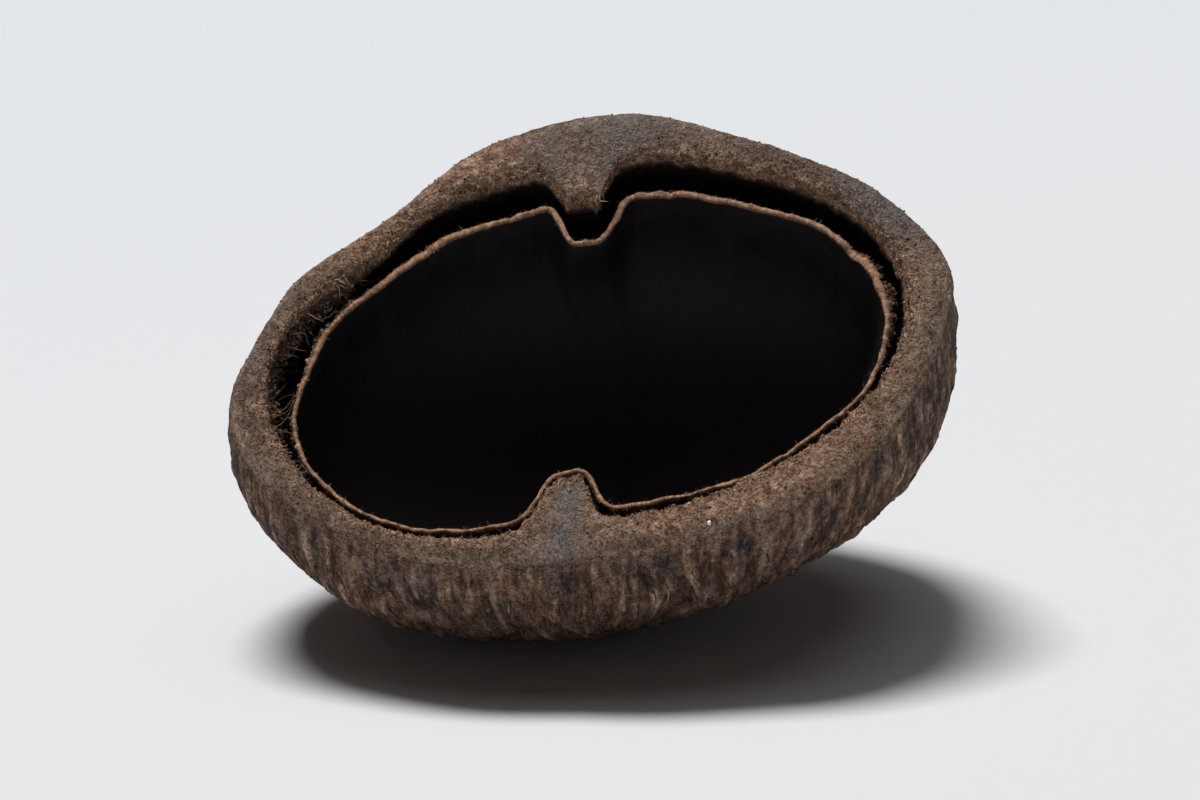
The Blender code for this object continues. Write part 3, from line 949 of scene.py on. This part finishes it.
def makeShellMaterial():
    made, tree, surface = newMaterial("inner shell")
    where = millimetres(tree)
    strands = readVector(tree, "strand")
    places = (("outside", strands, 1.3), ("inside", strands, 5.0), ("rim", where, 0.9))
    tones = mottled(tree, shellFinish, places)
    inside = readValue(tree, "inside")
    colour = mixed(tree, inside, tones["outside"], tones["inside"])
    colour = mixed(tree, readValue(tree, "rim"), colour, tones["rim"])
    grain = use(tree, grainGroup, {"Vector": strands, "Size": 0.5, "Contrast": 3.0})
    colour = shaded(tree, colour, grain["Mask"], 0.6, 1.35)
    dusty = use(tree, bloomGroup, {
        "Color": colour, "DustAndSheen": shellFinish["dust"],
        "Vector": where, "Size": 4.0, "Amount": maths(tree, "MULTIPLY", inside, 0.25),
    })
    # painted shading by depth: shade on the outside, a lighter painted fill deep inside
    deep = mixed(tree, inside, shellFinish["outsidePaintedShade"], shellFinish["insidePaintedFill"])
    colour = mixed(tree, readValue(tree, "deep"), dusty["Color"], deep)
    tree.links.new(colour, surface.inputs["Base Color"])
    rough = node(tree, "ShaderNodeMapRange", {
        "Value": inside, "To Min": shellFinish["outsideRoughness"], "To Max": shellFinish["insideRoughness"]
    })
    worn = maths(tree, "MULTIPLY", grain["Mask"], 0.16)
    tree.links.new(maths(tree, "ADD", rough.outputs["Result"], worn), surface.inputs["Roughness"])
    tree.links.new(bump(tree, grain["Height"], 0.16), surface.inputs["Normal"])
    surface.inputs["Specular IOR Level"].default_value = 0.3
    return made


shellMaterial = makeShellMaterial()


def makeShell():
    def ring(points, around, rim, inside, below, share):
        blank = np.zeros(len(around))
        return {
            "points": points,
            "rim": blank + rim,
            "inside": blank + inside,
            # outside: painted shade deepening into the gap; inside: painted fill light growing deep down
            "deep": blank + float(smoothStep(below, 8.0, 34.0) if inside else smoothStep(below, 1.2, 6.0)),
            "strand": strandSpace(around, blank + share),
        }

    def turnsOf(rows):
        return np.radians(shell["lastTurn"]) * (np.arange(rows + 1) / rows) ** 1.35

    def columnsAt(turn):
        return shell["columns"] // (1 if turn < 0.5 else 2 if turn < 1.2 else 4)

    rings = []
    for turn in turnsOf(shell["insideRows"])[::-1]:
        around = aroundFor(columnsAt(turn))
        below = wallShare(turn) * pod["depth"]
        points = shellSides(around, np.full(len(around), turn))[1]
        rim = 0.9 * math.exp(-((below / 0.3) ** 2))
        rings.append(ring(points, around, rim, 1.0, below, wallShare(turn)))
    around = aroundFor(shell["columns"])
    outside, inside = shellSides(around, np.zeros(len(around)))
    for row in range(1, shell["rimRows"]):
        share = row / shell["rimRows"]
        height = 0.2 * math.sin(math.pi * share) + 0.1 * edgeNoise(inside + 9.0 * share, 0.5)
        points = inside + (outside - inside) * share + np.stack((0 * height, 0 * height, height), axis=-1)
        rings.append(ring(points, around, 1.0, 0.0, 0.0, 0.02 * share))
    for turn in turnsOf(shell["outsideRows"]):
        around = aroundFor(columnsAt(turn))
        below = wallShare(turn) * pod["depth"]
        points = shellSides(around, np.full(len(around), turn))[0]
        rings.append(ring(points, around, 0.9 * math.exp(-below / 0.5), 0.0, below, wallShare(turn)))
    outerEnd = shellPoint(np.array(0.0), np.array(quarterTurn))
    innerEnd = outerEnd + (0, 0, shell["thickness"])
    made = podMesh("inner_shell_lining", rings, innerEnd, outerEnd, shellMaterial)
    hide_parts("inner_shell")


makeShell()


# Crumbs and fibres: many small closed pieces, all of one shape, in one mesh

def unit(vectors):
    return vectors / np.linalg.norm(vectors, axis=-1, keepdims=True)


def makeCrumbShape():
    ball = bmesh.new()
    bmesh.ops.create_icosphere(ball, subdivisions=1, radius=1.0)
    points = np.array([tuple(vertex.co) for vertex in ball.verts])
    faces = [[vertex.index for vertex in face.verts] for face in ball.faces]
    ball.free()
    return points, faces


crumbShape, crumbFaces = makeCrumbShape()


def crumbs(random, centres, sizes):
    count = len(centres)
    uneven = random.uniform(0.45, 1.25, (count, len(crumbShape), 1))
    uneven = uneven * random.uniform(0.5, 1.35, (count, 1, 3))
    axes = np.linalg.qr(random.normal(size=(count, 3, 3)))[0]
    axes[:, 0] *= np.linalg.det(axes)[:, None]
    return centres[:, None] + crumbShape * uneven * sizes[:, None, None] @ axes


def fibres(paths, widths):
    # three-sided, widest at the root and closed to a point at the tip
    count, steps = paths.shape[:2]
    along = unit(np.gradient(paths, axis=1))
    side = unit(np.cross(along, (0.31, 0.52, 0.8)))
    other = np.cross(along, side)
    taper = (1 - 0.6 * np.linspace(0, 1, steps))[:, None] * widths[:, None, None]
    corners = []
    for corner in range(3):
        lean = fullTurn * corner / 3
        corners.append(paths + (side * math.cos(lean) + other * math.sin(lean)) * taper)
    rings = np.stack(corners, axis=2)[:, :-1].reshape(count, -1, 3)
    return np.concatenate((rings, paths[:, -1:]), axis=1)


def fibreFaces(steps):
    faces = [[2, 1, 0]]
    for row in range(steps - 2):
        for corner in range(3):
            a, b = 3 * row + corner, 3 * row + (corner + 1) % 3
            faces.append([a, b, b + 3, a + 3])
    last = 3 * (steps - 2)
    for corner in range(3):
        faces.append([last + corner, last + (corner + 1) % 3, last + 3])
    return faces


def addMany(name, parts, faces, slotName, **values):
    count, size = parts.shape[:2]
    allFaces = []
    for face in faces:
        allFaces += (np.array(face) + size * np.arange(count)[:, None]).tolist()
    spread = {key: np.repeat(value, size) for key, value in values.items()}
    addObject(name, inWorld(parts.reshape(-1, 3)), allFaces, spread, bitsMaterial)


bitsFinish = {
    "tones": ((0.03, 0.018, 0.013), (0.19, 0.115, 0.078), (0.5, 0.35, 0.25)),
    "grey": (0.235, 0.225, 0.21),
    "white": (0.95, 0.95, 0.93),
    "roughness": 0.92,
}


def makeBitsMaterial():
    made, tree, surface = newMaterial("crumbs and fibres")
    where = millimetres(tree)
    colour = threeTones(tree, readValue(tree, "tone"), bitsFinish["tones"])
    colour = mixed(tree, readValue(tree, "grey"), colour, bitsFinish["grey"])
    colour = mixed(tree, readValue(tree, "white"), colour, bitsFinish["white"])
    grain = use(tree, grainGroup, {"Vector": where, "Size": 0.25, "Contrast": 3.0})
    colour = shaded(tree, colour, grain["Mask"], 0.6, 1.3)
    tree.links.new(colour, surface.inputs["Base Color"])
    tree.links.new(bump(tree, grain["Height"], 0.05), surface.inputs["Normal"])
    surface.inputs["Roughness"].default_value = bitsFinish["roughness"]
    surface.inputs["Specular IOR Level"].default_value = 0.15
    return made


bitsMaterial = makeBitsMaterial()

loose = {
    "lipCrumbs": 6400,
    "crumbSize": (0.07, 0.22),
    "edgeFibres": 2600,
    "edgeLength": (0.2, 0.8),
    "tufts": ((155, 7, 3.0), (103.6, 8, 2.2), (79, 12, 1.6), (-73, 3, 1.2)),  # angle, count, length
    "tangle": (152, 196),  # angles between which fibres and crumbs bridge the gap
    "tangleFibres": 60,
    "tangleCrumbs": 1900,
    "strands": 2200,
    "strandLength": (2.5, 9.0),
    "strandSteps": 7,
    "wallMeasures": (40, 42),  # about what a radian spans round the wall and down it
    "rimDepth": 0.09,  # how far below the shell's edge its crumbs reach, as a turn
    "rimCrumbs": 2600,
    "rimFibres": 3000,
    # angle, half width, count
    "flakes": ((2, 11, 900), (50, 15, 350), (139, 18, 320), (166, 9, 260), (-38, 2, 20)),
    # angle, share of the lip's width, size
    "specks": ((-66, 0.32, 0.4), (-118, 0.15, 0.15), (-141, 0.2, 0.17), (-31, 0.12, 0.15)),
}


def drawBetween(random, limits, count, power):
    # more of the small than of the large where the power is over 1
    low, high = limits
    return low + (high - low) * random.uniform(size=count) ** power


def drawTone(random, middle, spread, count):
    return np.clip(random.normal(middle, spread, count), 0, 1)


def lipPlaces(random, count, weight):
    # places over the lip, drawn in proportion to a weight from 0 to 1
    around = random.uniform(0, fullTurn, 12 * count)
    share = random.uniform(0.12, 0.95, 12 * count)
    kept = np.flatnonzero(random.uniform(size=12 * count) < weight(share))[:count]
    return around[kept], share[kept]


def greyness(random, around):
    # crumbs turn grey where the lip's dust and painted sheen lie
    dusty = np.clip(swell(evenAngle(around), lipDustAndSheen), 0, 1)
    return np.where(random.uniform(size=len(around)) < 0.75 * dusty, 0.85, 0.0)


def makeLipCrumbs():
    random = np.random.RandomState(5)
    around, share = lipPlaces(
        random, loose["lipCrumbs"], lambda share: 0.2 + 0.8 * smoothStep(share, 0.5, 0.8)
    )
    sizes = drawBetween(random, loose["crumbSize"], len(around), 2)
    # crumbs grow paler toward the inner edge: tan fibre and a painted highlight
    tone = np.clip(random.normal(0.38, 0.2, len(around)) + 0.3 * smoothStep(share, 0.6, 0.85), 0, 1)
    parts = crumbs(random, lipSurface(around, share), sizes)
    grey = greyness(random, around) * (share < 0.75)
    addMany("lip_crumbs", parts, crumbFaces, "husk", tone=tone, grey=grey)
    angle, share, sizes = np.array(loose["specks"]).T
    parts = crumbs(random, lipSurface(aroundAt(angle), share) + (0, 0, 0.12), sizes)
    white = 1.0 - 0.24 * np.arange(len(share))
    addMany("pale_specks", parts, crumbFaces, "husk", tone=0 * share + 1, white=white)


def curled(random, roots, directions, lengths, steps, droop=0.25):
    # paths that leave a surface in the given directions and bend on the way
    share = np.linspace(0, 1, steps)[:, None]
    bend = random.normal(0, 0.35, (len(roots), 3)) - (0, 0, droop)
    away = directions[:, None] * share + bend[:, None] * share**2
    return roots[:, None] + away * lengths[:, None, None]


def makeEdgeFibres():
    random = np.random.RandomState(7)
    around, share = lipPlaces(random, loose["edgeFibres"], lambda share: smoothStep(share, 0.6, 0.86))
    lengths = drawBetween(random, loose["edgeLength"], len(around), 1.8)
    tone = drawTone(random, 0.5, 0.22, len(around))
    widths = random.uniform(0.035, 0.06, len(around))
    for angle, count, length in loose["tufts"]:
        around = np.append(around, aroundAt(angle + random.uniform(-1.3, 1.3, count)))
        share = np.append(share, random.uniform(0.72, 0.86, count))
        lengths = np.append(lengths, length * random.uniform(0.5, 1.0, count))
        tone = np.append(tone, random.uniform(0.75, 1.0, count))
        widths = np.append(widths, random.uniform(0.07, 0.11, count))
    angle = evenAngle(around)
    inward = np.stack((-np.cos(angle), -np.sin(angle), 0 * angle), axis=-1)
    loosely = random.normal(0, 0.5, (len(around), 3))
    rising = np.array((0, 0, 1)) * random.uniform(-0.5, 0.5, (len(around), 1))
    directions = unit(0.9 * inward + loosely + rising)
    roots = lipSurface(around, share) - 0.08 * directions
    parts = fibres(curled(random, roots, directions, lengths, 4), widths)
    addMany("edge_fibres", parts, fibreFaces(4), "husk", tone=tone, grey=0 * tone)


def makeTangle():
    # torn fibre that bridges the gap at the mouth's left end
    random = np.random.RandomState(13)
    count = loose["tangleFibres"]
    start = np.radians(random.uniform(*loose["tangle"], count))
    end = start + np.radians(random.normal(0, 3.5, count))
    depth = random.uniform(1.6, 5.5, count)
    first = place(start, boreRadius(start, -depth) + 0.6, -depth)
    outer = shellRadius(end, -depth) + random.uniform(0, 1.6, count)
    last = place(end, outer, -depth - random.uniform(-0.6, 1.6, count))
    share = np.linspace(0, 1, 6)[:, None]
    bow = random.normal(0, 0.7, (count, 1, 3)) * np.sin(math.pi * share)
    paths = first[:, None] * (1 - share) + last[:, None] * share + bow
    tone = drawTone(random, 0.4, 0.25, count)
    parts = fibres(paths, random.uniform(0.05, 0.11, count))
    addMany("gap_tangle", parts, fibreFaces(6), "husk", tone=tone, grey=0 * tone)
    count = loose["tangleCrumbs"]
    angle = np.radians(random.uniform(*loose["tangle"], count))
    depth = 0.1 + 3.5 * random.uniform(size=count) ** 1.8
    around = aroundAt(np.degrees(angle))
    onBore = boreSurface(around, np.arcsin(depth / pod["depth"]))
    onShell = shellSides(around, np.arcsin(0.6 * depth / pod["depth"]))[0]
    centres = np.where(random.uniform(size=(count, 1)) < 0.62, onBore, onShell)
    tone = drawTone(random, 0.58, 0.22, count)
    grey = np.where(random.uniform(size=count) < 0.3, 0.7, 0.0)
    parts = crumbs(random, centres, 0.1 + 0.28 * random.uniform(size=count) ** 2)
    addMany("gap_crumbs", parts, crumbFaces, "husk", tone=tone, grey=grey)


def makeStrands():
    # fibres that lie on the wall, mostly along its ribs, and curl
    random = np.random.RandomState(17)
    count, steps = loose["strands"], loose["strandSteps"]
    around = random.uniform(0, fullTurn, count)
    turn = np.arcsin(random.uniform(0.03, 0.97, count))
    lengths = drawBetween(random, loose["strandLength"], count, 1.6)
    heading = quarterTurn + random.normal(0, 0.22, count)
    curl = random.normal(0, 0.45, count)
    acrossWall, downWall = loose["wallMeasures"]
    points = []
    for step in range(steps):
        points.append(wallSurface(around, turn)[0])
        stride = lengths / (steps - 1)
        around = around + np.cos(heading) * stride / (acrossWall * np.maximum(np.cos(turn), 0.2))
        turn = np.clip(turn + np.sin(heading) * stride / downWall, 0.02, 1.45)
        heading = heading + curl / steps
    tone = drawTone(random, 0.3, 0.16, count)
    parts = fibres(np.stack(points, axis=1), random.uniform(0.07, 0.16, count))
    addMany("wall_strands", parts, fibreFaces(steps), "husk", tone=tone, grey=0 * tone)


def makeRimBits():
    # crumbs and splinters along the shell's torn edge and on its outside below it
    random = np.random.RandomState(19)
    count = loose["rimCrumbs"]
    around = random.uniform(0, fullTurn, count)
    turn = np.clip(loose["rimDepth"] * random.uniform(-0.7, 1.0, count), 0, 1)
    for angle, halfWidth, extra in loose["flakes"]:
        around = np.append(around, aroundAt(random.normal(angle, 0.6 * halfWidth, extra)))
        turn = np.append(turn, loose["rimDepth"] * random.uniform(size=extra) ** 1.3)
    outside, inside = shellSides(around, turn)
    across = np.where(turn > 0, 1.0, random.uniform(0.15, 1.0, len(turn)))[:, None]
    centres = inside + (outside - inside) * across
    flaked = np.arange(len(around)) >= count
    sizes = random.uniform(0.06, 0.17, len(around))
    sizes = sizes * np.where(flaked, drawBetween(random, (1.2, 2.4), len(around), 2), 1.0)
    # plain crumbs below the edge are painted darker the deeper they sit: painted shade in the gap
    tone = np.clip(random.normal(0.55, 0.2, len(around)) - np.where(flaked, 0.25, 5 * turn), 0, 1)
    parts = crumbs(random, centres, sizes)
    addMany("rim_crumbs", parts, crumbFaces, "inner_shell", tone=tone, grey=0 * tone)
    count = loose["rimFibres"]
    around = random.uniform(0, fullTurn, count)
    outside, inside = shellSides(around, np.zeros(count))
    across = random.uniform(0.0, 1.0, (count, 1))
    roots = inside + (outside - inside) * across - (0, 0, 0.1)
    outwards = 0.6 * (outside - inside) * (across - 0.3)
    directions = unit(random.normal(0, 0.6, (count, 3)) + (0, 0, 0.7) + outwards)
    lengths = random.uniform(0.25, 0.6, count)
    tone = drawTone(random, 0.55, 0.2, count)
    parts = fibres(curled(random, roots, directions, lengths, 4), random.uniform(0.035, 0.06, count))
    addMany("rim_fibres", parts, fibreFaces(4), "inner_shell", tone=tone, grey=0 * tone)


makeLipCrumbs()
makeEdgeFibres()
makeTangle()
makeStrands()
makeRimBits()


# Floor, light and camera
studio = {
    "floorRadius": 2.2,
    "wallCurve": 0.9,
    # painted light falloff: the floor is coloured lighter toward the front and right
    "floorColoursWithPaintedFalloff": ((0.8, 0.84, 0.88), (0.845, 0.86, 0.888)),  # at the back left and at the front
    "farColour": (0.24, 0.25, 0.26),  # where the floor curves up, which would else light the shadow
    "lamps": {
        "soft_top_light": {
            "from": (-0.15, 0.07, 0.95), "distance": 4.5, "sizes": (1.9, 1.1), "power": 174.0,
            "colour": (1.0, 0.985, 0.965),
        },
        "overhead_fill": {
            "from": (0.05, 0.05, 1.0), "distance": 3.6, "sizes": (3.8, 3.0), "power": 19.0,
            "colour": (0.97, 0.98, 1.0),
        },
    },
    "skyColour": (0.92, 0.95, 1.0),
    "skyStrength": 0.003,
}
camera = {
    "fromMouth": (62.0, -682.85, 261.3),  # millimetres from a point just below the mouth's centre
    "mouthPoint": (0, -2.5, 0),
    "looking": (-0.0829, 0.9313, -0.3652),
    "roll": -1.74,
    "lens": 170,
    "sensor": 36,
}


def makeFloor():
    # a flat round floor whose edge curves up, so that it is the backdrop from every side
    profile = [(0.0, 0.0), (studio["floorRadius"], 0.0)]
    for step in range(1, 17):
        lean = quarterTurn * step / 16
        out = studio["floorRadius"] + studio["wallCurve"] * math.sin(lean)
        profile.append((out, studio["wallCurve"] * (1 - math.cos(lean))))
    segments = 96
    points = []
    for out, height in profile[1:]:
        for step in range(segments):
            lean = fullTurn * step / segments
            points.append((out * math.cos(lean), out * math.sin(lean), height - 0.1 * mm))
    faces = [tuple(range(segments))]
    for row in range(len(profile) - 2):
        for step in range(segments):
            after = (step + 1) % segments
            a, b = row * segments, (row + 1) * segments
            faces.append((a + step, a + after, b + after, b + step))
    data = bpy.data.meshes.new("studio_floor")
    data.from_pydata(points, [], faces)
    data.shade_smooth()
    data.polygons[0].use_smooth = False  # the flat middle
    made, tree, surface = newMaterial("pale floor")
    where = millimetres(tree)
    spot = node(tree, "ShaderNodeSeparateXYZ", {"Vector": where}).outputs
    across = maths(tree, "SUBTRACT", maths(tree, "MULTIPLY", spot["X"], 0.6), spot["Y"])
    # painted light falloff across the floor
    colour = mixed(tree, between(tree, across, -450.0, 150.0), *studio["floorColoursWithPaintedFalloff"])
    out = node(tree, "ShaderNodeVectorMath", {0: where}, operation="LENGTH").outputs["Value"]
    colour = mixed(tree, between(tree, out, 900.0, 2200.0), colour, studio["farColour"])
    paper = use(tree, grainGroup, {"Vector": where, "Size": 3.0, "Contrast": 1.0})
    colour = shaded(tree, colour, paper["Mask"], 0.985, 1.0)
    tree.links.new(colour, surface.inputs["Base Color"])
    surface.inputs["Roughness"].default_value = 0.8
    surface.inputs["Specular IOR Level"].default_value = 0.1
    data.materials.append(made)
    floor = bpy.data.objects.new("studio_floor", data)
    bpy.context.collection.objects.link(floor)


def makeLight():
    for name, lamp in studio["lamps"].items():
        data = bpy.data.lights.new(name, "AREA")
        data.shape = "ELLIPSE"
        data.size, data.size_y = lamp["sizes"]
        data.energy = lamp["power"]
        data.color = lamp["colour"]
        made = bpy.data.objects.new(name, data)
        back = Vector(lamp["from"]).normalized()
        side = Vector((1, 0, 0)).cross(back).normalized()  # the lamp's short side
        made.location = back * lamp["distance"]
        made.rotation_euler = Matrix((-side.cross(back), -side, back)).transposed().to_euler()
        bpy.context.collection.objects.link(made)
    world = bpy.data.worlds.new("studio")
    world.use_nodes = True
    background = world.node_tree.nodes["Background"]
    background.inputs["Color"].default_value = (*studio["skyColour"], 1)
    background.inputs["Strength"].default_value = studio["skyStrength"]
    bpy.context.scene.world = world


def makeCamera():
    data = bpy.data.cameras.new("camera")
    data.lens = camera["lens"]
    data.sensor_width = camera["sensor"]
    made = bpy.data.objects.new("camera", data)
    mouth = podMouth + podRotation @ np.array(camera["mouthPoint"]) * mm
    made.location = Vector(mouth + np.array(camera["fromMouth"]) * mm)
    level = Vector(camera["looking"]).to_track_quat("-Z", "Y")
    made.rotation_euler = (level @ Euler((0, 0, math.radians(camera["roll"]))).to_quaternion()).to_euler()
    bpy.context.collection.objects.link(made)
    bpy.context.scene.camera = made


makeFloor()
makeLight()
makeCamera()
bpy.context.scene.view_settings.view_transform = "Standard"
print("floor, light and camera")
